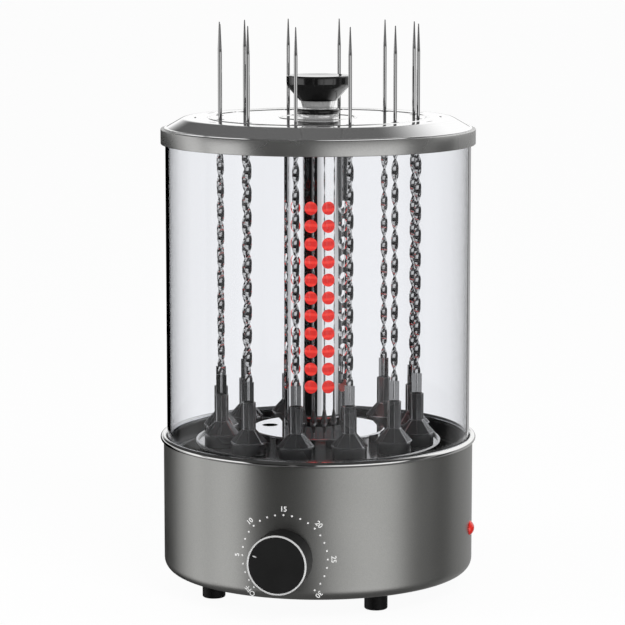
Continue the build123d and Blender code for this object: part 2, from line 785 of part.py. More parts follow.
# ---------------------------------------------------------------- holders, pinions and skewers
with BuildPart() as holder_blank:
    with BuildSketch(Plane.XY.offset(holder_bottom)):
        Circle(holder_boss_r)
    extrude(amount=holder_boss_height)
    with BuildSketch(Plane.XY.offset(holder_skirt_z)):
        RegularPolygon(holder_skirt_flats / 2, 8, major_radius=False)
    extrude(amount=holder_skirt_lip)
    with BuildSketch(Plane.XY.offset(holder_skirt_z + holder_skirt_lip)):
        RegularPolygon(holder_skirt_flats / 2, 8, major_radius=False)
    with BuildSketch(Plane.XY.offset(holder_tube_z)):
        RegularPolygon(holder_flats / 2, 8, major_radius=False)
    loft(ruled=True)
    with BuildSketch(Plane.XY.offset(holder_tube_z)):
        RegularPolygon(holder_flats / 2, 8, major_radius=False)
    extrude(amount=holder_tube_height)
    with BuildSketch(Plane.XY.offset(socket_bottom)):
        Rectangle(blade_width + 2 * socket_gap, blade_thickness + 2 * socket_gap)
    extrude(amount=socket_length, mode=Mode.SUBTRACT)
    with BuildSketch(Plane.XY.offset(holder_bottom)):
        Circle(spindle_r + snug)
    extrude(amount=spindle_grip, mode=Mode.SUBTRACT)

with BuildPart() as pinion_blank:
    with BuildSketch(Plane.XY.offset(gear_bottom)):
        with BuildLine():
            gear_outline(pinion_teeth, sun_module)
        make_face()
    extrude(amount=gear_face)
    with BuildSketch(Plane.XY.offset(deck_z + thrust)):
        Circle(spindle_hub_r)
    extrude(amount=well_floor - well_wall - deck_z - 2 * thrust)
    with BuildSketch(Plane.XY.offset(spindle_bottom)):
        Circle(spindle_r)
    extrude(amount=holder_bottom + spindle_grip - thrust - spindle_bottom)

twist_section = Rectangle(skewer_width, skewer_thickness).wire().moved(Pos(0, 0, twist_bottom))
twist = Solid.extrude_linear_with_rotation(
    twist_section, (0, 0, twist_bottom), (0, 0, twist_length), 360 * skewer_turns)

with BuildPart() as skewer_blank:
    add(twist)
    with BuildSketch(Plane.XY.offset(skewer_bottom)):
        Rectangle(blade_width, blade_thickness)
    extrude(amount=twist_bottom - skewer_bottom)
    with BuildSketch(Plane.XY.offset(holder_top + skewer_rod_r)):
        Circle(blade_rib_r)
    extrude(amount=blade_rise - skewer_rod_r)
    with BuildSketch(Plane.XY.offset(twist_top)):
        Rectangle(skewer_width, skewer_thickness)
    extrude(amount=skewer_width)
    with BuildSketch(Plane.XZ):
        with BuildLine():
            Polyline((0, twist_top), (skewer_rod_r, twist_top),
                     (skewer_rod_r, skewer_top - skewer_point_length),
                     (skewer_point_r, skewer_top - skewer_point_r))
            ThreePointArc((skewer_point_r, skewer_top - skewer_point_r),
                          (skewer_point_r * sin(pi / 4), skewer_top - skewer_point_r * (1 - cos(pi / 4))),
                          (0, skewer_top))
            Line((0, skewer_top), (0, twist_top))
        make_face()
    revolve(axis=Axis.Z)

for number in range(skewer_count):
    heading = 360 * number / skewer_count - 90
    centre = polar(holder_circle_r, radians(heading)) + (0,)
    # A gap of the pinion faces the tooth of the sun gear nearest to the line of centres.
    mesh_turn = 180 + heading * (1 + sun_teeth / pinion_teeth) + 180 / pinion_teeth

    with BuildPart() as holder:
        with Locations(Location(centre, (0, 0, holder_turn))):
            add(holder_blank.part)
    holder.part.label = f"holder_{number + 1:02d}"
    export_step(holder.part, f"parts/holder_{number + 1:02d}.step")

    with BuildPart() as pinion:
        with Locations(Location(centre, (0, 0, mesh_turn))):
            add(pinion_blank.part)
    pinion.part.label = f"pinion_{number + 1:02d}"
    export_step(pinion.part, f"parts/pinion_{number + 1:02d}.step")

    with BuildPart() as skewer:
        with Locations(Location(centre, (0, 0, holder_turn))):
            add(skewer_blank.part)
    skewer.part.label = f"skewer_{number + 1:02d}"
    export_step(skewer.part, f"parts/skewer_{number + 1:02d}.step")
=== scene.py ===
import bpy
import bmesh
from math import cos, pi, radians, sin, tan
from mathutils import Matrix, Vector


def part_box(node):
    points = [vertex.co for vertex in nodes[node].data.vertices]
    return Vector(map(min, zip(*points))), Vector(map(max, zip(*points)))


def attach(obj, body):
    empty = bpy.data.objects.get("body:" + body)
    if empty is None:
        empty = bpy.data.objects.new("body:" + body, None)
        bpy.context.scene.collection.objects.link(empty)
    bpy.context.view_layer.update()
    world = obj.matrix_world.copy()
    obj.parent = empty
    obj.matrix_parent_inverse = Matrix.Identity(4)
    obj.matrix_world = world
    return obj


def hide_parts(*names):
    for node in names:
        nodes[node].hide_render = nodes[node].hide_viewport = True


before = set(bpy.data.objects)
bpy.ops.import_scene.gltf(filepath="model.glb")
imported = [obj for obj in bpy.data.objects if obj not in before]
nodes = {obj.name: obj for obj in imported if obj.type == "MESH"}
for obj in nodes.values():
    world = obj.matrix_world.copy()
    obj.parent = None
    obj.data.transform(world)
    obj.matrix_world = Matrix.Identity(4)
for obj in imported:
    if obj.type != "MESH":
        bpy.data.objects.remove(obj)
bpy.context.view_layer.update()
numbers = ["%02d" % (i + 1) for i in range(12)]
mm = 0.001


def span(node):
    # lowest and highest corner of a CAD node, in millimetres
    low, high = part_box(node)
    return [c / mm for c in low], [c / mm for c in high]


def deselect():
    if bpy.context.object and bpy.context.object.mode != "OBJECT":
        bpy.ops.object.mode_set(mode="OBJECT")
    bpy.ops.object.select_all(action="DESELECT")


def pick(piece):
    deselect()
    piece.select_set(True)
    bpy.context.view_layer.objects.active = piece


def smooth(piece, angle):
    pick(piece)
    bpy.ops.object.shade_smooth_by_angle(angle=radians(angle))


def settle(piece):
    # the place goes into the mesh and the object sits at the origin
    pick(piece)
    bpy.ops.object.transform_apply(location=True, rotation=True, scale=True)


def applyAll(piece):
    pick(piece)
    for m in list(piece.modifiers):
        bpy.ops.object.modifier_apply(modifier=m.name)


def rounded(corners, steps):
    # corners are (r, z, fillet); each fillet becomes an arc of a few points
    points = []
    count = len(corners)
    for i, (r, z, fillet) in enumerate(corners):
        here = Vector((r, z))
        if not fillet:
            points.append((r, z))
            continue
        before = Vector(corners[i - 1][:2]) - here
        after = Vector(corners[(i + 1) % count][:2]) - here
        half = before.angle(after) / 2
        reach = min(fillet / tan(half), before.length * 0.49, after.length * 0.49)
        radius = reach * tan(half)
        centre = here + (before.normalized() + after.normalized()).normalized() * (radius / sin(half))
        a = here + before.normalized() * reach - centre
        b = here + after.normalized() * reach - centre
        sweep = a.angle_signed(b)
        for k in range(steps + 1):
            spoke = a.copy()
            spoke.rotate(Matrix.Rotation(-sweep * k / steps, 2))
            points.append(tuple(centre + spoke))
    return points


def turned(name, outline, steps):
    # draws the half section vertex by vertex in the XZ plane, then spins it round the axis
    deselect()
    bpy.ops.mesh.primitive_plane_add(size=0.01)
    piece = bpy.context.object
    piece.name = name
    bpy.ops.object.mode_set(mode="EDIT")
    mesh = bmesh.from_edit_mesh(piece.data)
    keep = mesh.verts[:][0]
    bmesh.ops.delete(mesh, geom=[v for v in mesh.verts if v is not keep], context="VERTS")
    first = Vector((outline[0][0] * mm, 0, outline[0][1] * mm))
    keep.co = first
    keep.select = True
    bmesh.update_edit_mesh(piece.data)
    last = first
    for r, z in outline[1:]:
        here = Vector((r * mm, 0, z * mm))
        bpy.ops.mesh.extrude_region_move(TRANSFORM_OT_translate={"value": here - last})
        last = here
    bpy.ops.mesh.select_all(action="SELECT")
    if outline[0][0] > 0 and outline[-1][0] > 0:
        mesh = bmesh.from_edit_mesh(piece.data)
        mesh.verts.ensure_lookup_table()
        ends = [v for v in mesh.verts if len(v.link_edges) == 1]
        mesh.edges.new(ends)
        bmesh.update_edit_mesh(piece.data)
        bpy.ops.mesh.select_all(action="SELECT")
    bpy.ops.mesh.spin(steps=steps, angle=2 * pi, center=(0, 0, 0), axis=(0, 0, 1))
    bpy.ops.mesh.select_all(action="SELECT")
    bpy.ops.mesh.remove_doubles(threshold=0.000002)
    bpy.ops.mesh.normals_make_consistent(inside=False)
    bpy.ops.object.mode_set(mode="OBJECT")
    return piece


def prism(name, sides, radius, depth, at):
    deselect()
    bpy.ops.mesh.primitive_cylinder_add(vertices=sides, radius=radius * mm, depth=depth * mm,
                                        location=[c * mm for c in at])
    piece = bpy.context.object
    piece.name = name
    settle(piece)
    return piece


def box(name, size, at):
    deselect()
    bpy.ops.mesh.primitive_cube_add(size=1, location=[c * mm for c in at], scale=[c * mm for c in size])
    piece = bpy.context.object
    piece.name = name
    settle(piece)
    return piece


def joined(pieces):
    # all the pieces become part of the first one
    deselect()
    for piece in pieces:
        piece.select_set(True)
    bpy.context.view_layer.objects.active = pieces[0]
    if len(pieces) > 1:
        bpy.ops.object.join()
    return bpy.context.object


def cut(piece, cutters):
    # one boolean with all the cutters joined, then the cutters go
    tool = joined(cutters)
    pick(piece)
    m = piece.modifiers.new("holes", "BOOLEAN")
    m.operation = "DIFFERENCE"
    m.solver = "EXACT"
    m.object = tool
    bpy.ops.object.modifier_apply(modifier=m.name)
    bpy.data.objects.remove(tool)


def copyOf(piece, name):
    twin = piece.copy()
    twin.data = piece.data.copy()
    twin.name = name
    bpy.context.scene.collection.objects.link(twin)
    return twin


def ride(piece, body, stands=()):
    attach(piece, body)
    if stands:
        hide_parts(*stands)


def dress(piece, material, body, stands=()):
    piece.data.materials.clear()
    piece.data.materials.append(material)
    ride(piece, body, stands)


class Nodes:
    # a short way to wire a material's nodes
    def __init__(self, name):
        self.material = bpy.data.materials.new(name)
        self.material.use_nodes = True
        self.tree = self.material.node_tree
        self.shader = self.tree.nodes["Principled BSDF"]
        self.place = self.tree.nodes.new("ShaderNodeTexCoord").outputs["Object"]

    def add(self, kind, **values):
        node = self.tree.nodes.new("ShaderNode" + kind)
        for key, value in values.items():
            if hasattr(node, key):
                setattr(node, key, value)
            else:
                node.inputs[key.replace("_", " ")].default_value = value
        return node

    def link(self, a, b):
        self.tree.links.new(a, b)

    def stretched(self, scale):
        node = self.add("Mapping")
        node.inputs["Scale"].default_value = scale
        self.link(self.place, node.inputs["Vector"])
        return node.outputs["Vector"]

    def noise(self, scale, detail, stretch=None, rough=0.55):
        node = self.add("TexNoise")
        node.inputs["Scale"].default_value = scale
        node.inputs["Detail"].default_value = detail
        node.inputs["Roughness"].default_value = rough
        self.link(self.stretched(stretch) if stretch else self.place, node.inputs["Vector"])
        return node.outputs["Fac"]

    def spread(self, fac, low, high, start=0.3, end=0.7):
        node = self.add("MapRange")
        node.inputs["From Min"].default_value = start
        node.inputs["From Max"].default_value = end
        node.inputs["To Min"].default_value = low
        node.inputs["To Max"].default_value = high
        self.link(fac, node.inputs["Value"])
        return node.outputs["Result"]

    def tones(self, fac, dark, light, start=0.3, end=0.7):
        node = self.add("ValToRGB")
        node.color_ramp.elements[0].position = start
        node.color_ramp.elements[1].position = end
        node.color_ramp.elements[0].color = (*dark, 1)
        node.color_ramp.elements[1].color = (*light, 1)
        self.link(fac, node.inputs["Fac"])
        return node.outputs["Color"]

    def bump(self, fac, strength, distance):
        node = self.add("Bump")
        node.inputs["Strength"].default_value = strength
        node.inputs["Distance"].default_value = distance
        self.link(fac, node.inputs["Height"])
        self.link(node.outputs["Normal"], self.shader.inputs["Normal"])

    def paint(self, **values):
        for key, value in values.items():
            self.shader.inputs[key.replace("_", " ")].default_value = value


def metal(name, tone, rough, grain=(1, 1, 1), grainScale=900, depth=0.00001, sparkle=0.02, spread=0.04,
          metallic=1.0, smoothest=0.004):
    # base colour with a faint grain, a roughness that wanders a little, and fine bump
    n = Nodes(name)
    fine = n.noise(scale=grainScale, detail=3, stretch=grain)
    broad = n.noise(scale=14, detail=2)
    dark = [max(0, c - sparkle) for c in tone]
    light = [min(1, c + sparkle) for c in tone]
    n.link(n.tones(fine, dark, light), n.shader.inputs["Base Color"])
    n.link(n.spread(broad, max(smoothest, rough - spread), rough + spread), n.shader.inputs["Roughness"])
    n.bump(fine, strength=0.12, distance=depth)
    n.paint(Metallic=metallic)
    return n.material


def plastic(name, tone, rough, grainScale=2600, depth=0.00002, lift=0.012, coat=0.0, shine=0.5):
    # the colour drifts by lift, and the roughness follows a fine grain
    n = Nodes(name)
    fine = n.noise(scale=grainScale, detail=3)
    broad = n.noise(scale=30, detail=3)
    n.link(n.tones(broad, tone, [c + lift for c in tone]), n.shader.inputs["Base Color"])
    n.link(n.spread(fine, low=rough - 0.04, high=rough + 0.05), n.shader.inputs["Roughness"])
    n.bump(fine, strength=0.25, distance=depth)
    n.paint(Coat_Weight=coat, Coat_Roughness=0.06, Specular_IOR_Level=shine)
    return n.material


look = {
    "housing": (0.455, 0.455, 0.44),
    "well": (0.40, 0.40, 0.39),
    "mirror": (0.97, 0.97, 0.97),
    "holder": (0.16, 0.16, 0.16),
    "black": (0.004, 0.004, 0.004),
    "face": (0.010, 0.010, 0.010),
    "nylon": (0.78, 0.76, 0.70),
}


def housingLacquer():
    # metallic lacquer with fine flakes under a thin clear coat
    n = Nodes("housingLacquer")
    flakes = n.noise(scale=2400, detail=2)
    cloud = n.noise(scale=9, detail=2)
    dark = [c * 0.86 for c in look["housing"]]
    light = [c * 1.12 for c in look["housing"]]
    n.link(n.tones(flakes, dark, light), n.shader.inputs["Base Color"])
    n.link(n.spread(cloud, low=0.33, high=0.39), n.shader.inputs["Roughness"])
    n.bump(flakes, strength=0.18, distance=0.000012)
    n.paint(Metallic=1.0, Coat_Weight=0.18, Coat_Roughness=0.16)
    return n.material


def clearGlass():
    # clear glass with a faint film; its low IOR keeps the dark edges narrow
    n = Nodes("clearGlass")
    film = n.noise(scale=35, detail=3)
    n.link(n.spread(film, low=0.0, high=0.008), n.shader.inputs["Roughness"])
    n.paint(Transmission_Weight=1.0, IOR=1.22, Base_Color=(0.925, 0.932, 0.95, 1))
    return n.material


def glowingQuartz():
    # milky red-hot quartz: brighter along the coil's turns
    turnPitch = 6 * mm
    n = Nodes("glowingQuartz")
    split = n.add("SeparateXYZ")
    n.link(n.place, split.inputs["Vector"])
    wave = n.add("Math", operation="SINE")
    scale = n.add("Math", operation="MULTIPLY")
    scale.inputs[1].default_value = 2 * pi / turnPitch
    n.link(split.outputs["Z"], scale.inputs[0])
    n.link(scale.outputs[0], wave.inputs[0])
    hot = n.tones(wave.outputs[0], dark=(0.56, 0.035, 0.03), light=(0.76, 0.06, 0.045), start=0.2, end=0.9)
    n.link(hot, n.shader.inputs["Base Color"])
    n.link(hot, n.shader.inputs["Emission Color"])
    n.paint(Emission_Strength=0.9, Roughness=0.25, Coat_Weight=0.4)
    return n.material


def redLamp():
    n = Nodes("lampLens")
    cloud = n.noise(scale=160, detail=2)
    n.link(n.tones(cloud, dark=(0.70, 0.012, 0.008), light=(0.86, 0.03, 0.02)), n.shader.inputs["Base Color"])
    n.link(n.spread(cloud, low=0.08, high=0.14), n.shader.inputs["Roughness"])
    n.paint(Transmission_Weight=0.15, IOR=1.49, Coat_Weight=0.7, Coat_Roughness=0.03)
    return n.material


def printedWhite():
    n = Nodes("printedWhite")
    fine = n.noise(scale=1800, detail=3)
    n.link(n.tones(fine, dark=(0.78, 0.78, 0.77), light=(0.90, 0.90, 0.89)), n.shader.inputs["Base Color"])
    n.link(n.spread(fine, low=0.42, high=0.55), n.shader.inputs["Roughness"])
    return n.material


finish = {
    "housing": housingLacquer(),
    "rim": metal("rimBead", (0.86, 0.86, 0.85), 0.05, spread=0.015, sparkle=0.01, depth=0.000003),
    "well": metal("wellLacquer", look["well"], 0.30, sparkle=0.03),
    "ring": metal("ringPlateSteel", (0.52, 0.52, 0.51), 0.12, spread=0.03, depth=0.000001, metallic=0.82),
    "mirror": metal("mirrorSteel", look["mirror"], 0.012, spread=0.006, sparkle=0.006, depth=0.000001),
    "lidTop": metal("lidMirror", look["mirror"], 0.03, spread=0.01, sparkle=0.006, depth=0.000002,
                    metallic=0.94),
    "lidBand": metal("lidLacquer", (0.52, 0.52, 0.51), 0.27, sparkle=0.03, metallic=0.93),
    "holder": metal("holderCasting", look["holder"], 0.26, sparkle=0.01, depth=0.000002, metallic=0.55),
    "skewer": metal("skewerSteel", (0.60, 0.60, 0.60), 0.02, grain=(1, 1, 0.06), grainScale=1500, spread=0.01,
                    depth=0.0000005, sparkle=0.01),
    "neck": metal("turnedNeck", (0.92, 0.92, 0.92), 0.10, grain=(0.2, 0.2, 4), metallic=0.72),
    "trim": metal("knobTrim", (0.92, 0.92, 0.92), 0.22, spread=0.03, metallic=0.45),
    # lighter and glossier than the holder casting: a painted highlight along the holders' bevelled edges
    "edge": metal("holderEdgePaintedHighlight", (0.50, 0.50, 0.50), 0.16, sparkle=0.03, metallic=0.85),
    "zinc": metal("zincPlate", (0.60, 0.61, 0.62), 0.34),
    "motor": metal("motorCan", (0.50, 0.50, 0.50), 0.38),
    "lidKnob": plastic("lidKnobBlack", look["black"], 0.10, lift=0.003, coat=0.8, depth=0.000002),
    "knobFace": plastic("knobFaceBlack", look["face"], 0.42, lift=0.004, shine=0.22),
    "rubber": plastic("footRubber", (0.006, 0.006, 0.006), 0.5, grainScale=1400, depth=0.00004, lift=0.003,
                      shine=0.15),
    "nylon": plastic("gearNylon", look["nylon"], 0.42, lift=0.02),
    "case": plastic("timerCase", (0.70, 0.69, 0.64), 0.45, lift=0.02),
    "ceramic": plastic("whiteCeramic", (0.80, 0.78, 0.74), 0.55, grainScale=700, depth=0.00006, lift=0.02),
    "glass": clearGlass(),
    "quartz": glowingQuartz(),
    "lens": redLamp(),
    "print": printedWhite(),
}

cadFinish = {
    "bottom_plate": "zinc", "inner_well": "well", "ring_plate": "ring",
    "centre_plate": "mirror", "heater_guard": "mirror", "quartz_tube": "quartz", "heating_element": "quartz",
    "heater_end_caps": "ceramic", "glass_cylinder": "glass", "lid": "lidTop", "lid_knob_stem": "neck",
    "lid_knob": "lidKnob", "timer_knob": "knobFace", "knob_ring": "trim", "timer": "case",
    "indicator_lamp": "lens", "cord_gland": "rubber", "gear_deck": "zinc", "sun_gear": "nylon",
    "motor_pinion": "nylon", "gear_motor": "motor", "housing_shell": "housing", "feet": "rubber",
}
for i in numbers:
    cadFinish["holder_" + i] = "holder"
    cadFinish["pinion_" + i] = "nylon"
    cadFinish["skewer_" + i] = "skewer"
for name, key in cadFinish.items():
    nodes[name].data.materials.clear()
    nodes[name].data.materials.append(finish[key])
print("materials ready")


shot = {
    "distance": 2.2508,      # from the axis, level
    "height": 0.5520,
    "side": 12.3,            # degrees to the right of the front
    "pitch": 8.309,          # downwards
    "focusPixels": 2821.6,
    "axisPixel": 318.15,     # where the object's axis stands in the 625 pixel picture
    "picture": 625,
    "floorGlow": 0.94,       # how white the floor looks; the rest shows the shadow
}


def makeCamera():
    data = bpy.data.cameras.new("camera")
    data.sensor_width = 36
    data.lens = shot["focusPixels"] / shot["picture"] * data.sensor_width
    data.clip_end = 300
    camera = bpy.data.objects.new("camera", data)
    bpy.context.scene.collection.objects.link(camera)
    side = radians(shot["side"])
    aside = (shot["picture"] / 2 - shot["axisPixel"]) / shot["focusPixels"]
    camera.location = (shot["distance"] * sin(side), -shot["distance"] * cos(side), shot["height"])
    camera.rotation_euler = (radians(90 - shot["pitch"]), 0, side - aside)
    bpy.context.scene.camera = camera


def makeFloor():
    deselect()
    bpy.ops.mesh.primitive_plane_add(size=200)
    floor = bpy.context.object
    floor.name = "floor"
    n = Nodes("floorWhite")
    n.paint(Base_Color=(0.95, 0.95, 0.95, 1), Roughness=0.6)
    glow = n.add("Emission", Strength=1.0)
    glow.inputs["Color"].default_value = (1, 1, 1, 1)
    path = n.add("LightPath")
    share = n.add("Math", operation="MULTIPLY")
    share.inputs[1].default_value = shot["floorGlow"]
    n.link(path.outputs["Is Camera Ray"], share.inputs[0])
    mix = n.add("MixShader")
    n.link(share.outputs[0], mix.inputs[0])
    n.link(n.shader.outputs[0], mix.inputs[1])
    n.link(glow.outputs[0], mix.inputs[2])
    n.link(mix.outputs[0], n.tree.nodes["Material Output"].inputs["Surface"])
    floor.data.materials.append(n.material)
    floor.visible_glossy = False         # metal and glass see the studio's bands instead
    floor.visible_transmission = False


# what shines on metal: degrees to the right of the camera, brightness
studio = {
    "bands": [(-180, 0.0), (-134, 0.0), (-129, 0.25), (-118, 0.5), (-108, 0.95), (-95, 1.0), (-92, 0.35),
              (-90, 0.35), (-86, 0.9), (-73, 1.0), (-57, 1.0), (-50, 0.005), (-22, 0.005), (-20, 0.12),
              (-17, 0.12), (-15, 0.005), (-3, 0.005), (1, 0.45), (14, 0.85), (34, 1.0), (54, 1.0), (64, 0.8),
              (71, 0.07), (82, 0.07), (87, 0.22), (93, 0.22), (97, 0.04), (112, 0.04), (121, 0.3),
              (172, 0.45)],
    "backdrop": 1.0,         # the pale wall above the horizon
    "frontTop": 0.06,        # the dark room behind the camera, above the horizon
    "overhead": 0.045,       # the dark ceiling
    "table": 0.12,           # straight below
    "ceilingFrom": 0.15,     # it starts lower at the left than at the right
    "ceilingTo": 0.62,
    "ceilingLean": 0.95,
    "fill": 0.62,            # what falls on matt surfaces
    "backTurn": (-0.1, 0.3),         # where the dark room behind the camera gives way to the pale wall
    "horizon": (0.005, 0.05),        # where the bands end and the walls begin
    "ceilingLow": (0.08, 0.2),       # no ceiling below this height
    "tableTurn": (0.45, 0.75),       # how steeply down the table begins
}


def makeStudio():
    world = bpy.data.worlds.new("studio")
    bpy.context.scene.world = world
    world.use_nodes = True
    tree = world.node_tree
    tree.nodes.clear()

    def add(kind, **values):
        node = tree.nodes.new("ShaderNode" + kind)
        for key, value in values.items():
            setattr(node, key, value)
        return node

    def maths(operation, a, b=None):
        node = add("Math", operation=operation)
        for socket, value in zip(node.inputs, (a, b)):
            if value is None:
                continue
            if isinstance(value, (int, float)):
                socket.default_value = value
            else:
                tree.links.new(value, socket)
        return node.outputs[0]

    def rise(value, start, end):
        node = add("MapRange", interpolation_type="SMOOTHSTEP")
        tree.links.new(value, node.inputs["Value"])
        node.inputs["From Min"].default_value = start
        node.inputs["From Max"].default_value = end
        return node.outputs["Result"]

    def mixed(fac, a, level):
        node = add("Mix", data_type="RGBA")
        tree.links.new(fac, node.inputs["Factor"])
        tree.links.new(a, node.inputs["A"])
        node.inputs["B"].default_value = (level, level, level, 1)
        return node.outputs["Result"]

    split = add("SeparateXYZ")
    tree.links.new(add("TexCoord").outputs["Generated"], split.inputs[0])
    angle = maths("ARCTAN2", split.outputs["Y"], split.outputs["X"])
    front = radians(shot["side"] - 90)
    turn = maths("FRACT", maths("ADD", maths("DIVIDE", maths("SUBTRACT", angle, front), 2 * pi), 1.5))
    ramp = add("ValToRGB")
    ramp.color_ramp.interpolation = "EASE"
    tree.links.new(turn, ramp.inputs["Fac"])
    marks = ramp.color_ramp.elements
    while len(marks) > 1:
        marks.remove(marks[-1])
    for k, (degree, level) in enumerate(studio["bands"]):
        place = (degree + 180) / 360
        mark = marks[0] if k == 0 else marks.new(place)
        mark.position = place
        mark.color = (level, level, level, 1)
    first = studio["bands"][0][1]
    marks.new(1.0).color = (first, first, first, 1)
    side = radians(shot["side"])
    x, y, z = (split.outputs[axis] for axis in "XYZ")
    away = maths("SUBTRACT", maths("MULTIPLY", y, cos(side)), maths("MULTIPLY", x, sin(side)))
    dark = add("RGB")
    dark.outputs[0].default_value = (studio["frontTop"],) * 3 + (1,)
    upper = mixed(rise(away, *studio["backTurn"]), dark.outputs[0], studio["backdrop"])
    walls = add("Mix", data_type="RGBA")
    tree.links.new(rise(z, *studio["horizon"]), walls.inputs["Factor"])
    tree.links.new(ramp.outputs["Color"], walls.inputs[6])
    tree.links.new(upper, walls.inputs[7])
    right = maths("ADD", maths("MULTIPLY", x, cos(side)), maths("MULTIPLY", y, sin(side)))
    lifted = maths("SUBTRACT", z, maths("MULTIPLY", right, studio["ceilingLean"]))
    ceiling = rise(lifted, studio["ceilingFrom"], studio["ceilingTo"])
    above = maths("MULTIPLY", ceiling, rise(z, *studio["ceilingLow"]))
    lit = mixed(above, walls.outputs[2], studio["overhead"])
    room = mixed(rise(maths("MULTIPLY", z, -1), *studio["tableTurn"]), lit, studio["table"])
    path = add("LightPath")
    shown = add("Background")
    tree.links.new(room, shown.inputs["Color"])
    plain = add("Background")
    fill = add("Background")
    fill.inputs["Strength"].default_value = studio["fill"]
    for b in (plain, fill):
        b.inputs["Color"].default_value = (1, 1, 1, 1)
    onMetal = add("MixShader")
    tree.links.new(maths("GREATER_THAN", path.outputs["Glossy Depth"], 0.5), onMetal.inputs[0])
    tree.links.new(plain.outputs[0], onMetal.inputs[1])
    tree.links.new(shown.outputs[0], onMetal.inputs[2])
    onMatt = add("MixShader")
    tree.links.new(maths("GREATER_THAN", path.outputs["Diffuse Depth"], 0.5), onMatt.inputs[0])
    tree.links.new(onMetal.outputs[0], onMatt.inputs[1])
    tree.links.new(fill.outputs[0], onMatt.inputs[2])
    tree.links.new(onMatt.outputs[0], add("OutputWorld").inputs["Surface"])


lamps = {
    "keyLight": {"place": (1.1, -1.3, 1.6), "size": (1.0, 1.0), "power": 22},
    "leftLight": {"place": (-1.5, -0.8, 1.1), "size": (0.8, 1.4), "power": 12},
}
lampAim = (0, 0, 0.2)


def areaLight(name, place, size, power):
    data = bpy.data.lights.new(name, "AREA")
    data.shape = "RECTANGLE"
    data.size, data.size_y = size
    data.energy = power
    lamp = bpy.data.objects.new(name, data)
    bpy.context.scene.collection.objects.link(lamp)
    lamp.location = place
    lamp.rotation_euler = (Vector(lampAim) - Vector(place)).to_track_quat("-Z", "Y").to_euler()
    lamp.visible_glossy = False
    lamp.visible_transmission = False


makeCamera()
makeFloor()
makeStudio()
for name, values in lamps.items():
    areaLight(name, **values)
bpy.context.scene.view_settings.view_transform = "Standard"
print("camera, floor and light ready")


lidSizes = {
    "bandHeight": 12.0,
    "stepIn": 2.6,
    "stepHeight": 1.2,
    "ledge": 2.2,
    "topRadius": 108.0,
    "shoulderRound": 7.0,    # soft change from the shoulder to the flat top
    "edgeRound": 0.5,
    "wall": 1.2,
    "seat": 1.2,             # glass top below the top of the band
    "ridgeHigh": 0.4,
    "grooveDeep": 0.7,
    "ridgeWide": 1.7,
    "ridges": (87.0, 30.0),
    "ridgeRound": 0.1,
    "holeRadius": 3.3,
    "slotRadius": 98.0,
    "slot": (12.0, 1.6),
    "drill": 6.0,            # how deep the cutters reach
    "capIn": 0.05,           # cap's side inside the band's step
    "ledgeRound": 0.8,
    "boltHole": 0.6,
    "bandLap": 0.6,          # band's flat top starts this far under the cap
    "lipRound": 0.3,
}


def makeLid():
    low, high = span("lid")
    v = lidSizes
    radius = (high[0] - low[0]) / 2
    bandTop = low[2] + v["bandHeight"]
    ledge = bandTop + v["stepHeight"]
    top = high[2] - v["ridgeHigh"]
    step = radius - v["stepIn"]
    inner = radius - v["wall"]
    shoulder = step - v["ledge"]
    r = v["edgeRound"]
    wide = v["ridgeWide"]
    crest = top + v["ridgeHigh"]
    groove = top - v["grooveDeep"]
    ridges = []
    for place in v["ridges"]:
        ridges += [(place + wide, top, 0), (place + wide * 0.8, crest, v["ridgeRound"]),
                   (place, crest, v["ridgeRound"]), (place - wide * 0.2, groove, v["ridgeRound"]),
                   (place - wide * 0.8, groove, v["ridgeRound"]), (place - wide, top, 0)]
    side = step - v["capIn"]
    under = top - v["wall"]
    outside = [(side, bandTop, 0), (side, ledge, r), (shoulder, ledge, v["ledgeRound"]),
               (v["topRadius"], top, v["shoulderRound"])]
    inside = [(v["boltHole"], top, 0), (v["boltHole"], under, 0), (v["topRadius"] - v["wall"] / 2, under, 0),
              (shoulder - v["wall"], ledge - v["wall"] / 2, 0), (shoulder - v["wall"], bandTop, 0)]
    cap = turned("lidCap", rounded(outside + ridges + inside, steps=5), steps=144)
    reach = lidHoleCircle()
    long, narrow = v["slot"]
    cutters = []
    for i in range(12):
        angle = radians(30 * i - 90)
        between = radians(30 * i - 90 + 15)
        place = (reach * cos(angle), reach * sin(angle), top)
        cutters.append(prism("hole", 24, v["holeRadius"], v["drill"], place))
        slot = prism("slot", 16, narrow / 2, v["drill"], (0, 0, 0))
        pick(slot)
        slot.scale = (1, long / narrow, 1)
        settle(slot)
        slot.rotation_euler[2] = between
        slotReach = v["slotRadius"] * mm
        slot.location = (slotReach * cos(between), slotReach * sin(between), top * mm)
        settle(slot)
        cutters.append(slot)
    cut(cap, cutters)
    smooth(cap, angle=28)
    dress(cap, finish["lidTop"], "lid", ["lid"])
    seat = bandTop - v["seat"]
    section = [(radius, low[2], r), (radius, bandTop, r), (step - v["bandLap"], bandTop, 0),
               (shoulder - v["wall"], bandTop, 0), (shoulder - v["wall"], seat, 0), (inner, seat, 0),
               (inner, low[2], v["lipRound"])]
    band = turned("lidBand", rounded(section, steps=4), steps=144)
    smooth(band, angle=28)
    dress(band, finish["lidBand"], "lid", ["lid"])


def lidHoleCircle():
    low, high = span("holder_01")
    return -(low[1] + high[1]) / 2


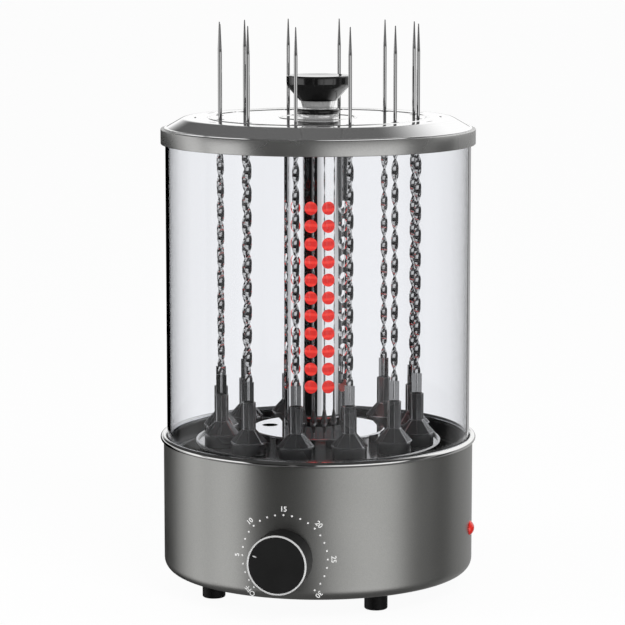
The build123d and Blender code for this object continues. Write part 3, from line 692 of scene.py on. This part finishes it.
lidKnobSizes = {
    "sideHeight": 8.2,
    "lowRadius": 14.8,
    "shoulderRound": 8.0,
    "lift": 2.6,             # bottom of the bowl above the end of the hidden neck
    "edgeRound": 0.9,
    "dish": 1.2,
    "footHeight": 7.1,
    "plinthHeight": 3.0,     # bright lower part of the foot
    "plinthIn": 0.6,
    "neckRadius": 14.0,
    "waist": 12.6,
    "waistRound": 1.2,
    "waistRise": 0.4,        # taper from the plinth to the waist
    "waistPast": 0.6,        # the waist goes on this far above the washer
    "bore": 2.0,
    "nutRadius": 7.0,
    "lowRound": 0.8,
    "rimWide": 2.4,
    "rimDrop": 0.05,
    "dishRound": 8.0,
    "plinthRound": 0.3,
    "washerRounds": (0.5, 1.2),
    "washerGap": 0.05,
}


def makeLidKnob():
    low, high = span("lid_knob")
    v = lidKnobSizes
    radius = (high[0] - low[0]) / 2
    side = high[2] - v["sideHeight"]
    bottom = low[2] + v["lift"]
    top = high[2]
    bowl = [(0, bottom, 0), (v["lowRadius"], bottom, v["lowRound"]), (radius, side, v["shoulderRound"]),
            (radius, top, v["edgeRound"]), (radius - v["rimWide"], top - v["rimDrop"], v["lowRound"]),
            (radius / 2, top - v["dish"] * 0.75, v["dishRound"]), (0, top - v["dish"], 0)]
    knob = turned("lidKnobBowl", rounded(bowl, steps=6), steps=128)
    smooth(knob, angle=40)
    dress(knob, finish["lidKnob"], "lid", ["lid_knob"])
    footLow, footHigh = span("lid_knob_stem")
    lidTop = span("lid")[1][2] - lidSizes["ridgeHigh"]
    footTop = lidTop + v["footHeight"]
    footRadius = (footHigh[0] - footLow[0]) / 2
    plinth = footRadius - v["plinthIn"]
    plinthTop = lidTop + v["plinthHeight"]
    waist = v["waist"]
    stalk = [(plinth, lidTop, 0), (plinth, plinthTop, v["plinthRound"]),
             (waist, plinthTop + v["waistRise"], 0), (waist, footTop + v["waistPast"], v["waistRound"]),
             (v["neckRadius"], bottom, 0), (v["bore"], bottom, 0), (v["bore"], lidTop, 0)]
    neck = turned("lidKnobNeck", rounded(stalk, steps=4), steps=96)
    smooth(neck, angle=35)
    dress(neck, finish["neck"], "lid", ["lid_knob_stem"])
    lowRound, highRound = v["washerRounds"]
    hole = waist + v["washerGap"]
    collar = [(footRadius, plinthTop, lowRound), (footRadius, footTop, highRound), (hole, footTop, 0),
              (hole, plinthTop, 0)]
    washer = turned("lidKnobWasher", rounded(collar, steps=4), steps=96)
    smooth(washer, angle=35)
    dress(washer, finish["lidKnob"], "lid", ["lid_knob_stem"])
    under = lidTop - lidSizes["wall"]
    nut = prism("lidKnobNut", 6, v["nutRadius"], under - footLow[2], (0, 0, (under + footLow[2]) / 2))
    smooth(nut, angle=30)
    dress(nut, finish["neck"], "lid", ["lid_knob_stem"])


timerKnobSizes = {
    "backRound": 0.8,
    "ringWide": 1.3,
    "ringHigh": 1.2,
    "faceIn": 0.35,          # the face lies a little below the ring
    "pointerAngle": 160,     # anticlockwise from three o'clock
    "pointer": (3.4, 1.0),
    "pointerIn": 3.4,
    "pointerThick": 0.3,
    "bodyDepth": 22.3,       # behind the ring
    "hollow": 17.0,          # open space inside the skirt, from the back
    "skirt": 3.0,            # wall of the skirt
    "stem": 4.0,
    "faceRound": 0.3,
    "ringRound": 0.45,
}


def makeTimerKnob():
    low, high = span("knob_ring")
    v = timerKnobSizes
    radius = (high[0] - low[0]) / 2
    axisZ = (high[2] + low[2]) / 2
    face = -low[1]                       # how far the ring stands out
    back = -high[1] - v["bodyDepth"]
    inside = -span("timer_knob")[1][1]
    ringBack = face - v["ringHigh"]
    ringInner = radius - v["ringWide"]
    front = face - v["faceIn"]
    roof = back + v["hollow"]
    body = [(radius, back, v["backRound"]), (radius, ringBack, 0), (ringInner, ringBack, 0),
            (ringInner, front, v["faceRound"]), (0, front, 0), (0, inside, 0),
            (v["stem"], inside, v["faceRound"]), (v["stem"], roof, 0), (radius - v["skirt"], roof, 0),
            (radius - v["skirt"], back, 0)]
    knob = turned("timerKnobBody", rounded(body, steps=5), steps=128)
    hoop = [(radius, ringBack, 0), (radius, face, v["ringRound"]), (ringInner, face, v["ringRound"]),
            (ringInner, ringBack, 0)]
    ring = turned("timerKnobRing", rounded(hoop, steps=5), steps=128)
    length, width = v["pointer"]
    thick = v["pointerThick"]
    pointer = prism("timerKnobPointer", 16, width / 2, thick, (0, 0, front + thick / 2))
    pick(pointer)
    pointer.scale = (length / width, 1, 1)
    settle(pointer)
    angle = radians(v["pointerAngle"])
    away = (radius - v["pointerIn"] - length / 2) * mm
    pointer.rotation_euler[2] = angle
    pointer.location = (away * cos(angle), away * sin(angle), 0)
    settle(pointer)
    for piece in (knob, ring, pointer):
        piece.rotation_euler = (radians(90), 0, 0)
        piece.location = (0, 0, axisZ * mm)
        settle(piece)
        smooth(piece, angle=35)
    dress(knob, finish["knobFace"], "timer_dial", ["timer_knob"])
    dress(ring, finish["trim"], "timer_dial", ["knob_ring"])
    dress(pointer, finish["trim"], "timer_dial")


dialSizes = {
    "dotCircle": 34.4,
    "numberCircle": 38.9,
    "dot": 0.75,
    "digits": 3.9,
    "bold": 0.09,
    "thick": 0.12,
    "labels": ["OFF", "5", "10", "15", "20", "25", "30"],
    "start": 225,            # place of the first label, anticlockwise from three o'clock
    "step": -45,
    "between": 3,            # dots between two labels
    "fontRatio": 1.42,       # font size for a digit one unit high
    "proud": 0.45,           # share of the thickness that lifts the print off the wall
    "panGap": 1.6,           # from the pan's rim to the face of the housing
}


def makeDial():
    v = dialSizes
    ringLow, ringHigh = span("knob_ring")
    axisZ = (ringLow[2] + ringHigh[2]) / 2
    panLow, panHigh = span("inner_well")
    wall = (panHigh[0] - panLow[0]) / 2 + v["panGap"]
    marks = []
    count = (len(v["labels"]) - 1) * (v["between"] + 1)
    reach = v["dotCircle"]
    for k in range(count + 1):
        angle = radians(v["start"] + v["step"] * k / (v["between"] + 1))
        marks.append(prism("dot", 16, v["dot"], v["thick"], (reach * cos(angle), reach * sin(angle), 0)))
    for k, label in enumerate(v["labels"]):
        angle = v["start"] + v["step"] * k
        deselect()
        bpy.ops.object.text_add()
        text = bpy.context.object
        text.data.body = label
        text.data.align_x = "CENTER"
        text.data.align_y = "CENTER"
        text.data.size = v["digits"] * mm * v["fontRatio"]
        text.data.extrude = v["thick"] * mm / 2
        text.data.offset = v["bold"] * mm
        text.data.resolution_u = 6
        pick(text)
        bpy.ops.object.convert(target="MESH")
        text = bpy.context.object
        text.rotation_euler[2] = radians(angle - 90)
        reach = v["numberCircle"] * mm
        text.location = (reach * cos(radians(angle)), reach * sin(radians(angle)), 0)
        settle(text)
        marks.append(text)
    dial = joined(marks)
    dial.name = "dialMarks"
    for vertex in dial.data.vertices:
        across, up, out = vertex.co
        turn = across / (wall * mm)
        reach = wall * mm + out + v["thick"] * mm * v["proud"]
        vertex.co = (reach * sin(turn), -reach * cos(turn), up + axisZ * mm)
    smooth(dial, angle=30)
    dress(dial, finish["print"], "base")


holderSizes = {
    "bossRadius": 13.6,
    "bossHeight": 9.2,
    "skirtFlats": 27.0,
    "skirtLip": 0.8,
    "skirtHeight": 10.8,
    "tubeFlats": 10.4,
    "slot": (8.4, 1.8),
    "slotDepth": 21.0,
    "turn": 12.0,
    "bevel": 0.45,
}


def makeHolders():
    low, high = span("holder_01")
    v = holderSizes
    corner = 1 / cos(pi / 8)
    bottom, top = low[2], high[2]
    skirt = bottom + v["bossHeight"]
    tube = skirt + v["skirtHeight"]
    body = prism("holder", 8, v["tubeFlats"] / 2 * corner, top - tube, (0, 0, (top + tube) / 2))
    pick(body)
    bpy.ops.object.mode_set(mode="EDIT")
    mesh = bmesh.from_edit_mesh(body.data)
    for f in mesh.faces:
        f.select_set(f.normal.z < -0.9)
    bmesh.update_edit_mesh(body.data)
    fall = skirt + v["skirtLip"] - tube
    bpy.ops.mesh.extrude_region_move(TRANSFORM_OT_translate={"value": (0, 0, fall * mm)})
    grow = v["skirtFlats"] / v["tubeFlats"]
    bpy.ops.transform.resize(value=(grow, grow, 1), center_override=(0, 0, skirt * mm))
    bpy.ops.mesh.extrude_region_move(TRANSFORM_OT_translate={"value": (0, 0, -v["skirtLip"] * mm)})
    bpy.ops.object.mode_set(mode="OBJECT")
    cut(body, [box("slot", (*v["slot"], 2 * v["slotDepth"]), (0, 0, top))])
    boss = prism("boss", 64, v["bossRadius"], v["bossHeight"], (0, 0, bottom + v["bossHeight"] / 2))
    joined([body, boss])
    bevel = body.modifiers.new("edges", "BEVEL")
    bevel.width = v["bevel"] * mm
    bevel.segments = 2
    bevel.limit_method = "ANGLE"
    bevel.angle_limit = radians(30)
    bevel.use_clamp_overlap = True
    # the bevel faces take the second finish, a painted highlight along the edges
    bevel.material = 1
    for key in ("holder", "edge"):
        body.data.materials.append(finish[key])
    applyAll(body)
    smooth(body, angle=42)
    for i in numbers:
        lowest, highest = span("holder_" + i)
        twin = copyOf(body, "holderCasting" + i)
        twin.rotation_euler[2] = radians(v["turn"])
        x, y = ((a + b) / 2 * mm for a, b in zip(lowest[:2], highest[:2]))
        twin.location = (x, y, 0)
        settle(twin)
        ride(twin, "holder_" + i, ["holder_" + i])
    bpy.data.objects.remove(body)


housingSizes = {
    "bead": 2.5,
    "wall": 1.2,
    "corner": 10.0,
    "flange": 9.0,
    "stemHole": 4.3,         # for the timer's shaft
    "lampHole": 4.62,
    "glandHole": 6.62,
    "drill": 16.0,           # how long the cutters are
}


def makeHousing():
    # the satin shell and its polished rolled rim
    low, high = span("housing_shell")
    v = housingSizes
    rim = high[2] - v["bead"]
    radius = high[0] - v["bead"]
    flange = radius - v["corner"] - v["flange"]
    inner = radius - v["wall"]
    bottom = low[2]
    section = [(flange, bottom, 0), (radius, bottom, v["corner"]), (radius, rim, 0), (inner, rim, 0),
               (inner, bottom + v["wall"], v["corner"] - v["wall"]), (flange, bottom + v["wall"], 0)]
    shell = turned("housingBody", rounded(section, steps=8), steps=180)
    holes = []
    for node, hole, axis, side in (("knob_ring", "stemHole", 1, -1), ("indicator_lamp", "lampHole", 0, 1),
                                   ("cord_gland", "glandHole", 1, 1)):
        lowest, highest = span(node)
        tool = prism("hole", 48, v[hole], v["drill"], (0, 0, 0))
        tool.rotation_euler = (radians(90), 0, 0) if axis else (0, radians(90), 0)
        place = [0, 0, (lowest[2] + highest[2]) / 2 * mm]
        place[axis] = side * radius * mm
        tool.location = place
        settle(tool)
        holes.append(tool)
    cut(shell, holes)
    smooth(shell, angle=30)
    dress(shell, finish["housing"], "base", ["housing_shell"])
    deselect()
    bpy.ops.mesh.primitive_torus_add(major_radius=radius * mm, minor_radius=v["bead"] * mm,
                                     major_segments=180, minor_segments=32, location=(0, 0, rim * mm))
    bead = bpy.context.object
    bead.name = "rimBead"
    settle(bead)
    smooth(bead, angle=60)
    dress(bead, finish["rim"], "base", ["housing_shell"])


footSizes = {"round": 1.3, "circle": 95.0, "first": -49, "count": 4}


def makeFeet():
    high = span("feet")[1]
    v = footSizes
    angles = [radians(v["first"] + 90 * k) for k in range(v["count"])]
    radius = high[0] - v["circle"] * max(cos(a) for a in angles)
    feet = []
    for a in angles:
        foot = prism("foot", 64, radius, high[2], (v["circle"] * cos(a), v["circle"] * sin(a), high[2] / 2))
        pick(foot)
        bpy.ops.object.mode_set(mode="EDIT")
        bpy.ops.mesh.select_mode(type="EDGE")
        mesh = bmesh.from_edit_mesh(foot.data)
        for e in mesh.edges:
            e.select_set(all(x.co.z < 1e-5 for x in e.verts))
        bmesh.update_edit_mesh(foot.data)
        bpy.ops.mesh.bevel(offset=v["round"] * mm, segments=5, profile=0.5)
        bpy.ops.mesh.select_mode(type="VERT")
        bpy.ops.object.mode_set(mode="OBJECT")
        feet.append(foot)
    piece = joined(feet)
    piece.name = "rubberFeet"
    smooth(piece, angle=40)
    dress(piece, finish["rubber"], "base", ["feet"])


makeLid()
makeLidKnob()
print("lid and its knob ready")
makeTimerKnob()
makeDial()
print("timer knob and dial ready")
makeHousing()
makeHolders()
makeFeet()
print("housing, holders and feet ready")
